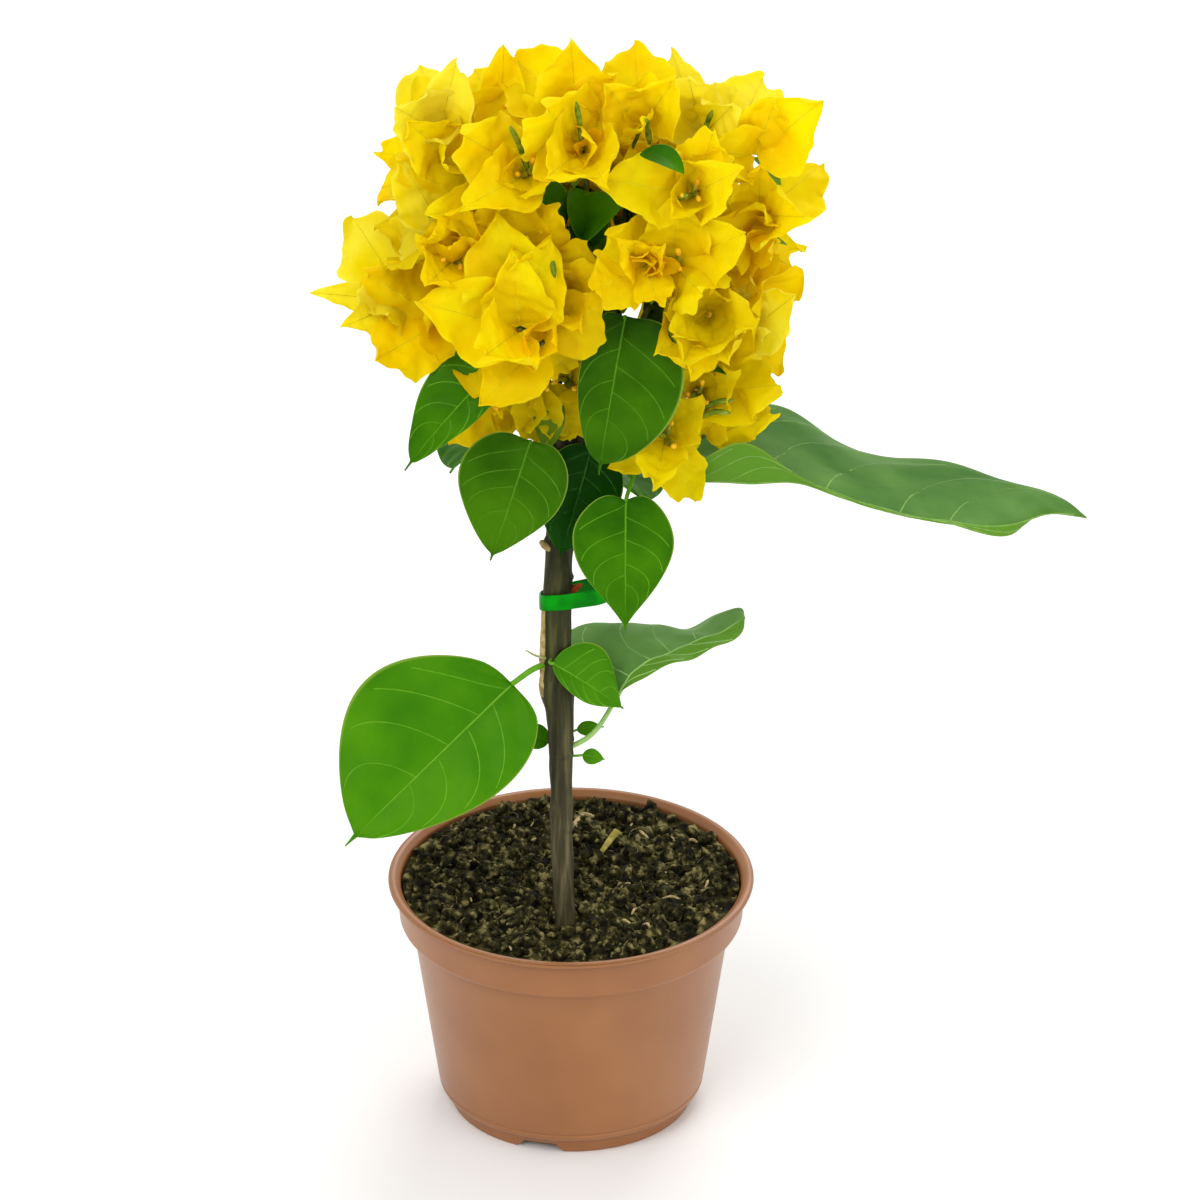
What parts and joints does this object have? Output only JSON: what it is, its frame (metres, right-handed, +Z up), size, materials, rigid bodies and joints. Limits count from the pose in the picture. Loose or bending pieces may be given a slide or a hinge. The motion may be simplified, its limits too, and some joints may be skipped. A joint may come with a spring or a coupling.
{
  "type": "potted bougainvillea bush",
  "caption": "Small potted bougainvillea grown as a standard: a bare stem with a plastic tie, green leaves, and a dense rounded crown of papery yellow bracts, in a round nursery pot.",
  "frame": {"origin": "on the pot's axis, on the floor plane the pot stands on", "axes": "+Z up along the pot's axis, -Y towards the front of the plant, +X to its right as seen from the front"},
  "size_m": [0.246, 0.1332, 0.3799],
  "materials": {
    "pot": "satin terracotta-coloured moulded polypropylene",
    "soil": "moist dark peat and bark crumbs",
    "bark": "grey-brown striated bark, olive on the young wood",
    "tie": "glossy green plastic band",
    "leaf": "waxy green leaf",
    "bract": "thin papery yellow bract"
  },
  "bodies": {
    "root": {"pot": "pot", "soil": "soil", "stem": "bark", "tie": "tie", "bough_front": "bark", "bough_left": "bark", "bough_top_left": "bark", "bough_top": "bark", "bough_front_right": "bark", "bough_top_right": "bark", "bough_right": "bark", "bough_low_right": "bark", "bough_under": "bark", "bough_back": "bark", "bough_back_left": "bark", "bough_back_right": "bark", "bough_back_top": "bark", "bough_back_low": "bark", "leaf_low_left": "leaf", "leaf_low_front": "leaf", "leaf_low_right": "leaf", "leaf_bud_right": "leaf", "leaf_bud_back": "leaf", "leaf_bud_left": "leaf", "leaf_upper_left": "leaf", "leaf_centre_left": "leaf", "leaf_centre_dark": "leaf", "leaf_centre_right": "leaf", "leaf_heart": "leaf", "leaf_great_right": "leaf", "leaf_gap_left": "leaf", "leaf_back_left": "leaf", "leaf_back_right": "leaf", "leaf_back": "leaf", "blossom_front": "bract", "blossom_left": "bract", "blossom_top_left": "bract", "blossom_top": "bract", "blossom_front_right": "bract", "blossom_top_right": "bract", "blossom_right": "bract", "blossom_low_right": "bract", "blossom_under": "bract", "blossom_back": "bract", "blossom_back_left": "bract", "blossom_back_right": "bract", "blossom_back_top": "bract", "blossom_back_low": "bract"}
  },
  "joints": []
}
